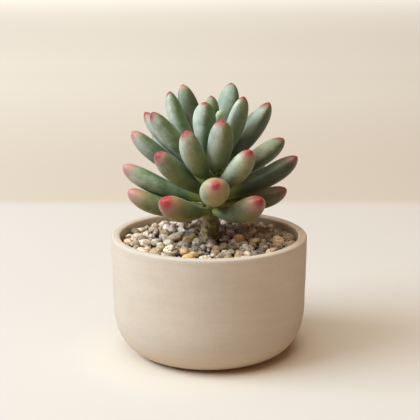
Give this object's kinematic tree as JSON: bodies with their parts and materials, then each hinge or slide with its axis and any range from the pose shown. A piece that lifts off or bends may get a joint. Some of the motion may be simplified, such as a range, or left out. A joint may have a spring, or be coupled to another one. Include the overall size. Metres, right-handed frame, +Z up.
{
  "type": "potted pachyphytum",
  "caption": "Pachyphytum, a succulent with plump pointed grey-green leaves in an open rosette on a short stem, in a round stoneware pot filled with soil and topped with pebbles.",
  "frame": {"origin": "the middle of the pot's foot, on the surface that the pot stands on", "axes": "+Z up along the pot's axis, -Y towards the front of the plant, +X to the viewer's right"},
  "size_m": [0.1, 0.1, 0.1355],
  "materials": {
    "pot": "matte",
    "soil": "matte",
    "gravel": "matte",
    "stem": "matte",
    "leaf": "matte",
    "bud": "matte"
  },
  "bodies": {
    "root": {"pot": "pot", "soil": "soil", "gravel": "gravel", "stem": "stem", "leaf_low_1": "leaf", "leaf_low_2": "leaf", "leaf_low_3": "leaf", "leaf_low_4": "leaf", "leaf_low_5": "leaf", "leaf_low_6": "leaf", "leaf_low_7": "leaf", "leaf_low_8": "leaf", "leaf_low_9": "leaf", "leaf_second_1": "leaf", "leaf_second_2": "leaf", "leaf_second_3": "leaf", "leaf_second_4": "leaf", "leaf_second_5": "leaf", "leaf_second_6": "leaf", "leaf_second_7": "leaf", "leaf_third_1": "leaf", "leaf_third_2": "leaf", "leaf_third_3": "leaf", "leaf_third_4": "leaf", "leaf_third_5": "leaf", "leaf_third_6": "leaf", "leaf_third_7": "leaf", "leaf_third_8": "leaf", "leaf_fourth_1": "leaf", "leaf_fourth_2": "leaf", "leaf_fourth_3": "leaf", "leaf_top_1": "leaf", "leaf_top_2": "leaf", "leaf_top_3": "leaf", "leaf_top_4": "leaf", "leaf_top_5": "leaf", "leaf_crown": "leaf", "bud": "bud"}
  },
  "joints": []
}
